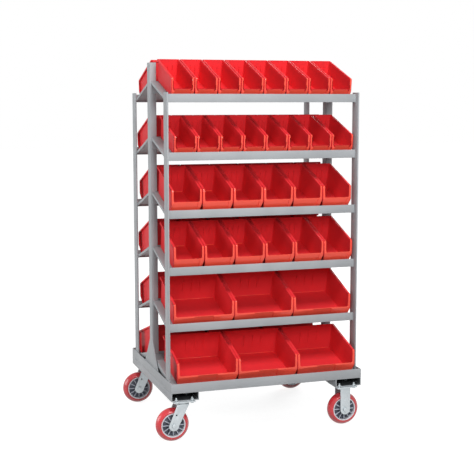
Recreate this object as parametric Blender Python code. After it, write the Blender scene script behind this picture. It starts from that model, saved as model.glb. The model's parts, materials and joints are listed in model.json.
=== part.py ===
"""Mobile bin cart: double-sided steel cart with sloped shelves, hopper bins and four casters.

Metres, +Z up. X runs along the front, Y to the back, and the cart stands on z = 0.
The swivel casters are at the left end (-X) and the rigid ones at the right end (+X).
"""
import bpy
import bmesh
from math import cos, pi, radians, sin, tan
from mathutils import Matrix

# Fits
GAP = 0.0003
OVERRUN = 0.004

# Base
BASE_LENGTH = 0.914
BASE_DEPTH = 0.762
BASE_SHEET = 0.004
BASE_LIP = 0.043
BOLSTER_WIDTH = 0.127
BOLSTER_HEIGHT = 0.036
BOLSTER_WALL = 0.004
CASTER_HEIGHT = 0.190

# Posts
POST_THICKNESS = 0.006
POST_WIDTH = 0.0635
POST_FRONT_OVERHANG = 0.027
POST_TOP_ABOVE_RAIL = 0.007
CENTER_POST_X = 0.030
CENTER_POST_Y = 0.050
CENTER_POST_WALL = 0.0025
CENTER_POST_ABOVE_RAIL = 0.143
GUSSET_SHEET = 0.004
GUSSET_HALF_WIDTH = 0.122
GUSSET_RISE = 0.122

# Shelves
SHELF_COUNT = 5
SHELF_PITCH = 0.254
SHELF_SPREAD = 0.610
SHELF_SHEET = 0.002
SHELF_SLOPE = radians(17.4)
RAIL_HEIGHT = 0.037
SHEET_BELOW_RAIL_TOP = 0.0285
BACK_FLANGE_FOOT = 0.004
END_HEM = 0.010
DECK_SLOPE = radians(14)
DECK_SHEET_BELOW_LIP = 0.030
DECK_END_HEM = 0.020

# Bins
BIN_WALL = 0.0025
BIN_SETBACK = 0.029
DECK_BIN_SETBACK = 0.041
BIN_DRAFT_BACK = 0.006
BIN_GAP = 0.0012

LARGE_BIN = {"count": 3, "width": 0.2845, "length": 0.2525, "back": 0.127, "front": 0.112,
             "lip": 0.050, "nose": 0.0175, "rim": 0.0075, "taper": 0.003, "foot": 0.004}
MEDIUM_BIN = {"count": 6, "width": 0.1435, "length": 0.2525, "back": 0.127, "front": 0.114,
              "lip": 0.056, "nose": 0.0175, "rim": 0.007, "taper": 0.003, "foot": 0.004}
SMALL_BIN = {"count": 8, "width": 0.1068, "length": 0.2600, "back": 0.102, "front": 0.0916,
             "lip": 0.042, "nose": 0.010, "rim": 0.006, "taper": 0.0025, "foot": 0.002}
SHELF_BINS = {1: LARGE_BIN, 2: MEDIUM_BIN, 3: MEDIUM_BIN, 4: SMALL_BIN, 5: SMALL_BIN}
SHELF_ROW_SHIFT = {1: 0.0035, 2: 0.007, 3: -0.0015, 4: 0.012, 5: 0.002}
DECK_ROW_SHIFT = 0.002

# Casters
WHEEL_RADIUS = 0.0762
WHEEL_WIDTH = 0.050
TREAD_EDGE_RADIUS = 0.062
TREAD_SHOULDER_RADIUS = 0.0722
TREAD_SHOULDER_SHARE = 0.53
TREAD_FLAT_SHARE = 0.14
CORE_RADIUS = 0.0555
CORE_RIM = 0.006
CORE_INSET = 0.0006
CORE_WEB = 0.010
CORE_RIBS = 8
CORE_RIB_THICKNESS = 0.004
CORE_RIB_SHORT = 0.007
HUB_RADIUS = 0.018
HUB_WIDTH = 0.056
AXLE_RADIUS = 0.006
AXLE_FIT = 0.0006
AXLE_HEAD_RADIUS = 0.011
AXLE_HEAD = 0.006
FORK_SHEET = 0.005
FORK_SIDE_GAP = 0.0015
FORK_EYE_RADIUS = 0.0235
FORK_CROWN = 0.006
FORK_TOP_WIDTH = 0.053
RIGID_FORK_TOP_WIDTH = 0.049
FORK_HOLE_RADIUS = 0.004
FORK_HOLE_RISE = 0.048
FORK_HOLE_BACK = 0.010
PLATE_X = 0.100
PLATE_Y = 0.114
PLATE_THICKNESS = 0.005
RACE_RADIUS = 0.033
RACE_HEIGHT = 0.012
KINGPIN_RADIUS = 0.008
SWIVEL_TRAIL = 0.044
CASTER_SIDE_INSET = 0.047
SWIVEL_END_INSET = 0.059
RIGID_END_INSET = 0.072
BOLT_X = 0.0365
BOLT_Y = 0.045
BOLT_RADIUS = 0.004
BOLT_HEAD_RADIUS = 0.0075
BOLT_HEAD = 0.005
BOLT_HOLE_FIT = 0.0006
WHEEL_SIDES = 24
PIN_SIDES = 12
BOLT_SIDES = 6

# Levels and places that follow from the sizes
BASE_BOTTOM = CASTER_HEIGHT + BOLSTER_HEIGHT
BASE_FLOOR = BASE_BOTTOM + BASE_SHEET
LIP_TOP = BASE_BOTTOM + BASE_LIP
RAIL_FACE = SHELF_SPREAD / 2
POST_FACE = BASE_LENGTH / 2 - BASE_SHEET - GAP
SHELF_END = POST_FACE - POST_THICKNESS - GAP
FLANGE_FACE = CENTER_POST_Y / 2 + GAP
TOP_RAIL = LIP_TOP + SHELF_COUNT * SHELF_PITCH
WHEEL_FACET = cos(pi / WHEEL_SIDES)
CASTER_Y = BASE_DEPTH / 2 - CASTER_SIDE_INSET
SWIVEL_X = BASE_LENGTH / 2 - SWIVEL_END_INSET
RIGID_X = BASE_LENGTH / 2 - RIGID_END_INSET
LEFT_REACH = SWIVEL_X + SWIVEL_TRAIL + WHEEL_RADIUS / WHEEL_FACET
RIGHT_REACH = max(RIGID_X + WHEEL_RADIUS / WHEEL_FACET, BASE_LENGTH / 2)
CENTER_SHIFT = (LEFT_REACH - RIGHT_REACH) / 2

for old_object in list(bpy.data.objects):
    bpy.data.objects.remove(old_object, do_unlink=True)

cart = bpy.data.objects.new("cart", None)
cart.location.x = CENTER_SHIFT
bpy.context.scene.collection.objects.link(cart)


# Materials
def finish(name, color, roughness, metallic):
    material = bpy.data.materials.new(name)
    material.use_nodes = True
    shader = material.node_tree.nodes["Principled BSDF"]
    shader.inputs["Base Color"].default_value = (*color, 1)
    shader.inputs["Roughness"].default_value = roughness
    shader.inputs["Metallic"].default_value = metallic
    return material


GREY_ENAMEL = finish("grey_enamel", (0.42, 0.45, 0.46), 0.45, 0)
RED_PLASTIC = finish("red_plastic", (0.72, 0.02, 0.025), 0.35, 0)
RED_TREAD = finish("red_tread", (0.55, 0.03, 0.05), 0.5, 0)
WHEEL_CORE = finish("wheel_core", (0.35, 0.36, 0.38), 0.45, 0.6)
ZINC = finish("zinc", (0.72, 0.76, 0.78), 0.3, 0.9)


# Shapes
def place(name, bm, material, parent=cart, at=(0, 0, 0), smooth=False):
    bmesh.ops.recalc_face_normals(bm, faces=bm.faces)
    mesh = bpy.data.meshes.new(name)
    bm.to_mesh(mesh)
    bm.free()
    mesh.materials.append(material)
    if smooth:
        mesh.shade_smooth()
        mesh.set_sharp_from_angle(angle=radians(35))
    piece = bpy.data.objects.new(name, mesh)
    piece.location = at
    piece.parent = parent
    bpy.context.scene.collection.objects.link(piece)
    return piece


def helper(name, bm, parent=cart, at=(0, 0, 0)):
    guide = place(name, bm, GREY_ENAMEL, parent, at)
    guide.hide_render = True
    guide.display_type = "WIRE"
    return guide


def combine(piece, tool, operation):
    step = piece.modifiers.new(tool.name, "BOOLEAN")
    step.solver = "EXACT"
    step.operation = operation
    step.object = tool


def box(low, high):
    bm = bmesh.new()
    bmesh.ops.create_cube(bm, size=1)
    for vert in bm.verts:
        for axis in range(3):
            vert.co[axis] = low[axis] if vert.co[axis] < 0 else high[axis]
    return bm


def plate_along_x(outline, low, high):
    """A closed (y, z) outline, extruded along X."""
    bm = bmesh.new()
    face = bm.faces.new([bm.verts.new((low, y, z)) for y, z in outline])
    grown = bmesh.ops.extrude_face_region(bm, geom=[face])["geom"]
    moved = [item for item in grown if isinstance(item, bmesh.types.BMVert)]
    bmesh.ops.translate(bm, verts=moved, vec=(high - low, 0, 0))
    return bm


def plate_along_y(outline, low, high):
    """A closed (x, z) outline, extruded along Y."""
    bm = plate_along_x(outline, low, high)
    bmesh.ops.transform(bm, verts=bm.verts, matrix=Matrix(((0, 1, 0, 0), (1, 0, 0, 0), (0, 0, 1, 0), (0, 0, 0, 1))))
    return bm


def turned(profile, sides, closed, along_y=False):
    """A (radius, height) profile spun about Z, or about Y, with a flat between corners at the bottom."""
    bm = bmesh.new()
    verts = [bm.verts.new((radius, 0, height)) for radius, height in profile]
    edges = [bm.edges.new(pair) for pair in zip(verts, verts[1:])]
    if closed:
        edges.append(bm.edges.new((verts[-1], verts[0])))
    bmesh.ops.spin(bm, geom=verts + edges, cent=(0, 0, 0), axis=(0, 0, 1), angle=2 * pi,
                   steps=sides, use_merge=True)
    bmesh.ops.remove_doubles(bm, verts=bm.verts, dist=GAP / 100)
    bmesh.ops.rotate(bm, verts=bm.verts, cent=(0, 0, 0), matrix=Matrix.Rotation(pi / sides, 3, "Z"))
    if along_y:
        bmesh.ops.rotate(bm, verts=bm.verts, cent=(0, 0, 0), matrix=Matrix.Rotation(pi / 2, 3, "X"))
    return bm


# Base tray and bolsters
def make_base():
    bm = box((-BASE_LENGTH / 2, -BASE_DEPTH / 2, BASE_BOTTOM), (BASE_LENGTH / 2, BASE_DEPTH / 2, LIP_TOP))
    top = max(bm.faces, key=lambda face: face.calc_center_median().z)
    bmesh.ops.inset_region(bm, faces=[top], thickness=BASE_SHEET)
    floor = bmesh.ops.extrude_discrete_faces(bm, faces=[top])["faces"][0]
    bmesh.ops.translate(bm, verts=floor.verts, vec=(0, 0, BASE_FLOOR - LIP_TOP))
    place("base_tray", bm, GREY_ENAMEL)


def bolt_places():
    return [(side_x * BOLT_X, side_y * BOLT_Y) for side_x in (-1, 1) for side_y in (-1, 1)]


def make_bolster(name, side, caster_x):
    outer = side * BASE_LENGTH / 2
    inner = side * (BASE_LENGTH / 2 - BOLSTER_WIDTH)
    low, high = min(outer, inner), max(outer, inner)
    top = BASE_BOTTOM - GAP
    web = CASTER_HEIGHT + BOLSTER_WALL
    outline = [(low, CASTER_HEIGHT), (high, CASTER_HEIGHT), (high, top), (high - BOLSTER_WALL, top),
               (high - BOLSTER_WALL, web), (low + BOLSTER_WALL, web), (low + BOLSTER_WALL, top), (low, top)]
    bolster = place(name, plate_along_y(outline, -BASE_DEPTH / 2, BASE_DEPTH / 2), GREY_ENAMEL)
    radius = BOLT_RADIUS + BOLT_HOLE_FIT
    depth = BOLSTER_WALL + OVERRUN
    for end in (-1, 1):
        for index, (x, y) in enumerate(bolt_places()):
            bm = turned([(0, -OVERRUN), (radius, -OVERRUN), (radius, depth), (0, depth)], BOLT_SIDES, False)
            drill = helper(f"{name}_drill_{end}_{index}", bm,
                           at=(side * caster_x + x, end * CASTER_Y + y, CASTER_HEIGHT))
            combine(bolster, drill, "DIFFERENCE")


# Posts
def make_corner_posts():
    front = RAIL_FACE + POST_FRONT_OVERHANG
    for side_x, end in ((-1, "left"), (1, "right")):
        for side_y, face in ((-1, "front"), (1, "rear")):
            xs = sorted((side_x * POST_FACE, side_x * (POST_FACE - POST_THICKNESS)))
            ys = sorted((side_y * front, side_y * (front - POST_WIDTH)))
            bm = box((xs[0], ys[0], BASE_FLOOR + GAP), (xs[1], ys[1], TOP_RAIL + POST_TOP_ABOVE_RAIL))
            place(f"corner_post_{face}_{end}", bm, GREY_ENAMEL)


def make_center_post(name, side):
    foot = BASE_FLOOR + GAP
    top = TOP_RAIL + CENTER_POST_ABOVE_RAIL
    xs = sorted((side * POST_FACE, side * (POST_FACE - CENTER_POST_X)))
    half = CENTER_POST_Y / 2
    post = place(name, box((xs[0], -half, foot), (xs[1], half, top)), GREY_ENAMEL)
    gusset_xs = sorted((side * POST_FACE, side * (POST_FACE - GUSSET_SHEET)))
    wide = GUSSET_HALF_WIDTH
    outline = [(-wide, foot), (wide, foot), (wide, LIP_TOP), (half, LIP_TOP + GUSSET_RISE),
               (-half, LIP_TOP + GUSSET_RISE), (-wide, LIP_TOP)]
    gusset = helper(f"{name}_gusset", plate_along_x(outline, *gusset_xs))
    combine(post, gusset, "UNION")
    wall = CENTER_POST_WALL
    hollow = box((xs[0] + wall, -half + wall, foot - OVERRUN), (xs[1] - wall, half - wall, top + OVERRUN))
    combine(post, helper(f"{name}_hollow", hollow), "DIFFERENCE")


# Sloped shelves: a front rail, a sheet up to the centre posts and a flange down their faces
def slope_height(depth, start, start_height, slope):
    return start_height + (start - depth) * tan(slope)


def sheet_outline(front, front_height, slope, feet, sheet):
    """The (y, z) outline of a front sheet, with its outer foot or rail and its back flange."""
    drop = sheet / cos(slope)
    back = FLANGE_FACE
    top_front = slope_height(front, front, front_height, slope)
    top_back = slope_height(back, front, front_height, slope)
    under_front = slope_height(front - sheet, front, front_height, slope) - drop
    under_back = slope_height(back + sheet, front, front_height, slope) - drop
    inner_top = slope_height(front - sheet, front, front_height, slope)
    points = []
    if feet["rail_top"] is not None:
        points += [(-(front - sheet), inner_top), (-(front - sheet), feet["rail_top"]), (-front, feet["rail_top"])]
    else:
        points += [(-front, top_front)]
    points += [(-front, feet["front_foot"]), (-(front - sheet), feet["front_foot"]),
               (-(front - sheet), under_front), (-(back + sheet), under_back),
               (-(back + sheet), feet["back_foot"]), (-back, feet["back_foot"]), (-back, top_back)]
    return points


def hem_outline(front, front_height, slope, sheet, depth, floor):
    """The (y, z) outline of the hem under a sheet's end."""
    rim = sheet / (2 * cos(slope))
    reach = sheet / cos(slope) + depth
    outer, inner = front - sheet / 2, FLANGE_FACE + sheet / 2
    top_outer = slope_height(outer, front, front_height, slope) - rim
    top_inner = slope_height(inner, front, front_height, slope) - rim
    low_outer = top_outer + rim - reach
    low_inner = top_inner + rim - reach
    points = [(-outer, top_outer), (-inner, top_inner), (-inner, low_inner)]
    if low_outer < floor:
        level = outer - (floor - low_outer) / tan(slope)
        points += [(-level, floor), (-outer, floor)]
    else:
        points += [(-outer, low_outer)]
    return points


def facing(outline, side):
    return [(-side * y, z) for y, z in outline]


def make_sheet(name, side, front, front_height, slope, feet, hem_depth):
    outline = facing(sheet_outline(front, front_height, slope, feet, SHELF_SHEET), side)
    shelf = place(name, plate_along_x(outline, -SHELF_END, SHELF_END), GREY_ENAMEL)
    hem = facing(hem_outline(front, front_height, slope, SHELF_SHEET, hem_depth, feet["front_foot"]), side)
    for end in (-1, 1):
        xs = sorted((end * SHELF_END, end * (SHELF_END - SHELF_SHEET)))
        combine(shelf, helper(f"{name}_hem_{end}", plate_along_x(hem, *xs)), "UNION")


def make_shelves():
    for side, face in ((-1, "front"), (1, "rear")):
        for level in range(1, SHELF_COUNT + 1):
            rail_top = LIP_TOP + level * SHELF_PITCH
            feet = {"rail_top": rail_top, "front_foot": rail_top - RAIL_HEIGHT,
                    "back_foot": rail_top + BACK_FLANGE_FOOT}
            make_sheet(f"shelf_{level}_{face}", side, RAIL_FACE, rail_top - SHEET_BELOW_RAIL_TOP,
                       SHELF_SLOPE, feet, END_HEM)
        floor = BASE_FLOOR + GAP
        feet = {"rail_top": None, "front_foot": floor, "back_foot": floor}
        front = BASE_DEPTH / 2 - BASE_SHEET - GAP
        make_sheet(f"deck_slope_{face}", side, front, LIP_TOP - DECK_SHEET_BELOW_LIP,
                   DECK_SLOPE, feet, DECK_END_HEM)


# Hopper bins. In a bin's own frame x runs across, y from the front to the back and z off its base.
def bin_shell(bm, kind, middle):
    """Adds one bin to bm and returns the outer faces of its rim, left and right, that neighbours share."""
    half = kind["width"] / 2
    wall = BIN_WALL
    back, front, lip, nose = kind["back"], kind["front"], kind["lip"], kind["nose"]
    length = kind["length"]
    back_lean = BIN_DRAFT_BACK / back
    nose_lean = nose / lip

    def body(height):
        return half - kind["rim"] - kind["taper"] * (1 - height / back)

    def inside(height):
        return body(height) - wall

    outer = {"foot": (0, 0), "lip": (-nose, lip), "corner": (0, front), "top": (length + BIN_DRAFT_BACK, back)}
    under = {"foot": (wall, 0), "lip": (wall - nose, lip), "corner": (wall, front - wall),
             "top": (length + back_lean * (back - wall), back - wall)}
    hollow = {"front": (wall - nose_lean * wall, wall), "back": (length - wall + back_lean * wall, wall),
              "top": (length - wall + BIN_DRAFT_BACK, back), "corner": (wall, front), "lip": (wall - nose, lip)}

    def one_side(side):
        made = {}

        def add(name, x, place_in_side):
            made[name] = bm.verts.new((middle + side * x, *place_in_side))

        for name, spot in outer.items():
            add(f"rim_{name}", half - (kind["foot"] if name == "foot" else 0), spot)
        for name, spot in under.items():
            add(f"under_{name}", half - (kind["foot"] if name == "foot" else 0), spot)
            add(f"body_{name}", body(spot[1]), spot)
        for name, spot in hollow.items():
            add(f"in_{name}", inside(spot[1]), spot)
        add("base_back", body(0), (length, 0))
        add("back_top", body(back), outer["top"])
        return made

    def close(made, *names):
        return bm.faces.new([made[name] for name in names])

    sides = {side: one_side(side) for side in (-1, 1)}
    seams = {}
    for side, made in sides.items():
        close(made, "body_foot", "base_back", "body_top", "body_corner", "body_lip")
        edge = ("top", "corner", "lip", "foot")
        strips = []
        for near, far in zip(edge, edge[1:]):
            close(made, f"body_{near}", f"under_{near}", f"under_{far}", f"body_{far}")
            strips.append(close(made, f"under_{near}", f"rim_{near}", f"rim_{far}", f"under_{far}"))
        seams[side] = strips[:2]
        close(made, "rim_top", "in_top", "in_corner", "rim_corner")
        close(made, "rim_corner", "in_corner", "in_lip", "rim_lip")
        close(made, "body_top", "under_top", "rim_top", "back_top")
        close(made, "rim_top", "back_top", "in_top")
        close(made, "in_front", "in_back", "in_top", "in_corner", "in_lip")

    def across(*names):
        back_names = list(reversed(names))
        bm.faces.new([sides[-1][name] for name in names] + [sides[1][name] for name in back_names])

    across("rim_foot", "under_foot", "body_foot", "base_back")
    across("base_back", "body_top", "back_top")
    across("rim_foot", "rim_lip")
    across("rim_lip", "in_lip")
    across("back_top", "in_top")
    across("in_front", "in_lip")
    across("in_back", "in_top")
    across("in_front", "in_back")
    return seams


def bin_frame(side, depth, height, slope):
    """Places a bin's own frame on a slope, with its base's front edge at that depth and height."""
    lift = GAP / cos(slope)
    tilt = Matrix.Rotation(slope, 4, "X")
    front = Matrix.Translation((0, -depth, height + lift)) @ tilt
    turn = Matrix.Rotation(pi, 4, "Z") if side > 0 else Matrix.Identity(4)
    return turn @ front


def bin_middle(kind, index, pitch, shift):
    return (index - (kind["count"] - 1) / 2) * pitch + shift


def make_bin_row(name, kind, frame, shift):
    """A row of bins whose rims meet, as one piece."""
    bm = bmesh.new()
    bins = [bin_shell(bm, kind, bin_middle(kind, index, kind["width"], shift)) for index in range(kind["count"])]
    inner = [face for seams in bins[:-1] for face in seams[1]]
    inner += [face for seams in bins[1:] for face in seams[-1]]
    bmesh.ops.delete(bm, geom=inner, context="FACES_ONLY")
    bmesh.ops.remove_doubles(bm, verts=bm.verts, dist=GAP / 10)
    bmesh.ops.transform(bm, verts=bm.verts, matrix=frame)
    place(name, bm, RED_PLASTIC)


def make_loose_bins(name, kind, frame, shift):
    for index in range(kind["count"]):
        bm = bmesh.new()
        bin_shell(bm, kind, bin_middle(kind, index, kind["width"] + BIN_GAP, shift))
        bmesh.ops.transform(bm, verts=bm.verts, matrix=frame)
        place(f"{name}_{index + 1}", bm, RED_PLASTIC)


def make_bins():
    for side, face in ((-1, "front"), (1, "rear")):
        depth = RAIL_FACE - BIN_SETBACK
        for level, kind in SHELF_BINS.items():
            rail_top = LIP_TOP + level * SHELF_PITCH
            height = slope_height(depth, RAIL_FACE, rail_top - SHEET_BELOW_RAIL_TOP, SHELF_SLOPE)
            frame = bin_frame(side, depth, height, SHELF_SLOPE)
            if kind is LARGE_BIN:
                make_loose_bins(f"large_bin_shelf_{face}", kind, frame, SHELF_ROW_SHIFT[level])
            else:
                size = "medium" if kind is MEDIUM_BIN else "small"
                make_bin_row(f"{size}_bin_row_{level}_{face}", kind, frame, SHELF_ROW_SHIFT[level])
        depth = BASE_DEPTH / 2 - DECK_BIN_SETBACK
        front = BASE_DEPTH / 2 - BASE_SHEET - GAP
        height = slope_height(depth, front, LIP_TOP - DECK_SHEET_BELOW_LIP, DECK_SLOPE)
        frame = bin_frame(side, depth, height, DECK_SLOPE)
        make_loose_bins(f"large_bin_deck_{face}", LARGE_BIN, frame, DECK_ROW_SHIFT)


# Casters, each built about its own wheel axle or kingpin
def eye_outline(eye_x, top_x, top_width, top_z):
    """A fork leg's (x, z) outline: two straight flanks that meet a round eye at the axle."""
    steps = 8
    high_left = (top_x - top_width / 2, top_z)
    high_right = (top_x + top_width / 2, top_z)
    start, end = radians(180), radians(360)
    arc = [(eye_x + FORK_EYE_RADIUS * cos(start + (end - start) * step / steps),
            WHEEL_RADIUS + FORK_EYE_RADIUS * sin(start + (end - start) * step / steps))
           for step in range(steps + 1)]
    return [high_left] + arc + [high_right]


def make_fork(name, parent, eye_x, top_x, top_width, crown_bottom, crown_top):
    leg_in = HUB_WIDTH / 2 + FORK_SIDE_GAP
    leg_out = leg_in + FORK_SHEET
    half = top_width / 2
    fork = place(name, box((top_x - half, -leg_out, crown_bottom), (top_x + half, leg_out, crown_top)),
                 ZINC, parent)
    outline = eye_outline(eye_x, top_x, top_width, crown_top)
    for side in (-1, 1):
        ys = sorted((side * leg_in, side * leg_out))
        combine(fork, helper(f"{name}_leg_{side}", plate_along_y(outline, *ys), parent), "UNION")
    reach = leg_out + OVERRUN
    bore = AXLE_RADIUS + AXLE_FIT
    bm = turned([(0, -reach), (bore, -reach), (bore, reach), (0, reach)], PIN_SIDES, False, along_y=True)
    combine(fork, helper(f"{name}_bore", bm, parent, (eye_x, 0, WHEEL_RADIUS)), "DIFFERENCE")
    return fork


def make_wheel(name, parent, axle_x):
    half = WHEEL_WIDTH / 2
    grow = 1 / WHEEL_FACET
    spinner = bpy.data.objects.new(f"{name}_spin", None)
    spinner.parent = parent
    spinner.location = (axle_x, 0, WHEEL_RADIUS)
    bpy.context.scene.collection.objects.link(spinner)
    inner = CORE_RADIUS + GAP
    shoulder = TREAD_SHOULDER_SHARE * half
    flat = TREAD_FLAT_SHARE * half
    tread = [(inner, -half), (inner, half), (TREAD_EDGE_RADIUS, half), (TREAD_SHOULDER_RADIUS, shoulder),
             (WHEEL_RADIUS, flat), (WHEEL_RADIUS, -flat), (TREAD_SHOULDER_RADIUS, -shoulder),
             (TREAD_EDGE_RADIUS, -half)]
    tread = [(radius * grow, height) for radius, height in tread]
    place(f"{name}_tread", turned(tread, WHEEL_SIDES, True, along_y=True), RED_TREAD, spinner, smooth=True)
    bore = AXLE_RADIUS + AXLE_FIT
    rim_in = CORE_RADIUS - CORE_RIM
    rim = half - CORE_INSET
    web = CORE_WEB / 2
    hub = HUB_WIDTH / 2
    core = [(bore, -hub), (bore, hub), (HUB_RADIUS, hub), (HUB_RADIUS, web), (rim_in, web), (rim_in, rim),
            (CORE_RADIUS, rim), (CORE_RADIUS, -rim), (rim_in, -rim), (rim_in, -web), (HUB_RADIUS, -web),
            (HUB_RADIUS, -hub)]
    core = [(radius * grow, height) for radius, height in core]
    wheel = place(f"{name}_core", turned(core, WHEEL_SIDES, True, along_y=True), WHEEL_CORE, spinner, smooth=True)
    deep = rim - CORE_RIB_SHORT
    thick = CORE_RIB_THICKNESS / 2
    bite = CORE_RIM / 2
    for index in range(CORE_RIBS):
        bm = box((HUB_RADIUS - bite, -deep, -thick), (rim_in + bite, deep, thick))
        turn = Matrix.Rotation(2 * pi * index / CORE_RIBS, 3, "Y")
        bmesh.ops.rotate(bm, verts=bm.verts, cent=(0, 0, 0), matrix=turn)
        combine(wheel, helper(f"{name}_rib_{index}", bm, spinner), "UNION")


def make_axle(name, parent, axle_x):
    seat = HUB_WIDTH / 2 + FORK_SIDE_GAP + FORK_SHEET + GAP
    end = seat + AXLE_HEAD
    profile = [(0, -end), (AXLE_HEAD_RADIUS, -end), (AXLE_HEAD_RADIUS, -seat), (AXLE_RADIUS, -seat),
               (AXLE_RADIUS, seat), (AXLE_HEAD_RADIUS, seat), (AXLE_HEAD_RADIUS, end), (0, end)]
    bm = turned(profile, PIN_SIDES, False, along_y=True)
    place(name, bm, ZINC, parent, (axle_x, 0, WHEEL_RADIUS))


def add_bolts(piece, name, parent, plate_top):
    head_low = plate_top - PLATE_THICKNESS - BOLT_HEAD
    nut_low = CASTER_HEIGHT + BOLSTER_WALL + GAP
    nut_top = nut_low + BOLT_HEAD
    shank_low = plate_top - PLATE_THICKNESS / 2
    profile = [(0, head_low), (BOLT_HEAD_RADIUS, head_low), (BOLT_HEAD_RADIUS, shank_low),
               (BOLT_RADIUS, shank_low), (BOLT_RADIUS, nut_low), (BOLT_HEAD_RADIUS, nut_low),
               (BOLT_HEAD_RADIUS, nut_top), (0, nut_top)]
    for index, (x, y) in enumerate(bolt_places()):
        bm = turned(profile, BOLT_SIDES, False)
        combine(piece, helper(f"{name}_bolt_{index}", bm, parent, (x, y, 0)), "UNION")


def caster_empty(name, x, y):
    empty = bpy.data.objects.new(name, None)
    empty.location = (x, y, 0)
    empty.parent = cart
    bpy.context.scene.collection.objects.link(empty)
    return empty


def make_swivel_caster(name, x, y):
    kingpin = caster_empty(name, x, y)
    plate_top = CASTER_HEIGHT - GAP
    plate_low = plate_top - PLATE_THICKNESS
    race_low = plate_low - RACE_HEIGHT / 2
    crown_top = race_low - GAP
    plate = place(f"{name}_plate", box((-PLATE_X / 2, -PLATE_Y / 2, plate_low), (PLATE_X / 2, PLATE_Y / 2, plate_top)),
                  ZINC, kingpin)
    race = [(0, race_low), (RACE_RADIUS, race_low), (RACE_RADIUS, plate_low + PLATE_THICKNESS / 2),
            (0, plate_low + PLATE_THICKNESS / 2)]
    combine(plate, helper(f"{name}_race", turned(race, WHEEL_SIDES, False), kingpin), "UNION")
    bore = KINGPIN_RADIUS + AXLE_FIT
    drill = [(0, race_low - OVERRUN), (bore, race_low - OVERRUN), (bore, plate_top + OVERRUN), (0, plate_top + OVERRUN)]
    combine(plate, helper(f"{name}_drill", turned(drill, PIN_SIDES, False), kingpin), "DIFFERENCE")
    add_bolts(plate, name, kingpin, plate_top)
    axle_x = -SWIVEL_TRAIL
    fork_name = f"{name}_fork"
    disc_low = crown_top - RACE_HEIGHT / 2
    crown_low = disc_low - FORK_CROWN
    fork = make_fork(fork_name, kingpin, axle_x, 0, FORK_TOP_WIDTH, crown_low, disc_low)
    pin_top = plate_top - GAP
    pin = [(0, disc_low - FORK_CROWN / 2), (RACE_RADIUS, disc_low - FORK_CROWN / 2), (RACE_RADIUS, crown_top),
           (KINGPIN_RADIUS, crown_top), (KINGPIN_RADIUS, pin_top), (0, pin_top)]
    combine(fork, helper(f"{fork_name}_pin", turned(pin, WHEEL_SIDES, False), kingpin), "UNION")
    reach = HUB_WIDTH + FORK_SHEET
    hole = [(0, -reach), (FORK_HOLE_RADIUS, -reach), (FORK_HOLE_RADIUS, reach), (0, reach)]
    lean = SWIVEL_TRAIL * (1 - FORK_HOLE_RISE / (disc_low - WHEEL_RADIUS))
    hole_at = (-lean - FORK_HOLE_BACK, 0, WHEEL_RADIUS + FORK_HOLE_RISE)
    combine(fork, helper(f"{fork_name}_hole", turned(hole, PIN_SIDES, False, along_y=True), kingpin, hole_at),
            "DIFFERENCE")
    make_wheel(name, kingpin, axle_x)
    make_axle(f"{name}_axle", kingpin, axle_x)


def make_rigid_caster(name, x, y):
    seat = caster_empty(name, x, y)
    plate_top = CASTER_HEIGHT - GAP
    plate_low = plate_top - PLATE_THICKNESS
    fork = make_fork(f"{name}_fork", seat, 0, 0, RIGID_FORK_TOP_WIDTH, plate_low - FORK_CROWN,
                     plate_low + PLATE_THICKNESS / 2)
    plate = box((-PLATE_X / 2, -PLATE_Y / 2, plate_low), (PLATE_X / 2, PLATE_Y / 2, plate_top))
    combine(fork, helper(f"{name}_plate", plate, seat), "UNION")
    add_bolts(fork, name, seat, plate_top)
    make_wheel(name, seat, 0)
    make_axle(f"{name}_axle", seat, 0)


def make_casters():
    for side_y, face in ((-1, "front"), (1, "rear")):
        make_swivel_caster(f"caster_{face}_left", -SWIVEL_X, side_y * CASTER_Y)
        make_rigid_caster(f"caster_{face}_right", RIGID_X, side_y * CASTER_Y)


make_base()
make_bolster("bolster_left", -1, SWIVEL_X)
make_bolster("bolster_right", 1, RIGID_X)
make_corner_posts()
make_center_post("center_post_left", -1)
make_center_post("center_post_right", 1)
make_shelves()
make_bins()
make_casters()
bpy.context.view_layer.update()
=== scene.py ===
"""Looks of the mobile bin cart: enamelled steel, moulded red bins and ribbed casters on a plain studio floor.

Metres, +Z up. A bin's own frame has x across, y from the front to the back and z off its base.
"""

import json
from math import atan2, ceil, copysign, cos, pi, radians, sin

import bmesh
import bpy
from bpy.props import FloatProperty, FloatVectorProperty, IntProperty, PointerProperty
from mathutils import Matrix, Vector


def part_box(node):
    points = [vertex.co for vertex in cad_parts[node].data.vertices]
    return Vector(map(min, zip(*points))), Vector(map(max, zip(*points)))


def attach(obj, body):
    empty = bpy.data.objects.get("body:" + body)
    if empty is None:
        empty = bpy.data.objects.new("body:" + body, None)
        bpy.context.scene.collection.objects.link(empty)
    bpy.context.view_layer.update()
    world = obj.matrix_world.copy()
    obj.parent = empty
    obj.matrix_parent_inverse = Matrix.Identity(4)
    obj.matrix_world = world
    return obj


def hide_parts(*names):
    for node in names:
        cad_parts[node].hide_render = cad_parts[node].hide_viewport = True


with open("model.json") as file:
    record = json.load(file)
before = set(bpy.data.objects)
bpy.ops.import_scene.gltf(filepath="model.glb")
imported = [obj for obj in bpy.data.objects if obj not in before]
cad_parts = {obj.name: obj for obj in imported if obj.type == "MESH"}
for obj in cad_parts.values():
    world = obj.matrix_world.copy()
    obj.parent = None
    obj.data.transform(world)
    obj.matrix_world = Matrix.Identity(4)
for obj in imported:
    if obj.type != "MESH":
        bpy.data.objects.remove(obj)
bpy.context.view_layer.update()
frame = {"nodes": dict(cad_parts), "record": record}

bl_info = {
    "name": "Mobile bin cart",
    "version": (1, 0, 0),
    "blender": (4, 5, 0),
    "location": "3D View > Sidebar > Bin Cart",
    "description": "Dresses the mobile bin cart: steel frame, hopper bins, casters and studio",
    "category": "Object",
}

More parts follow.
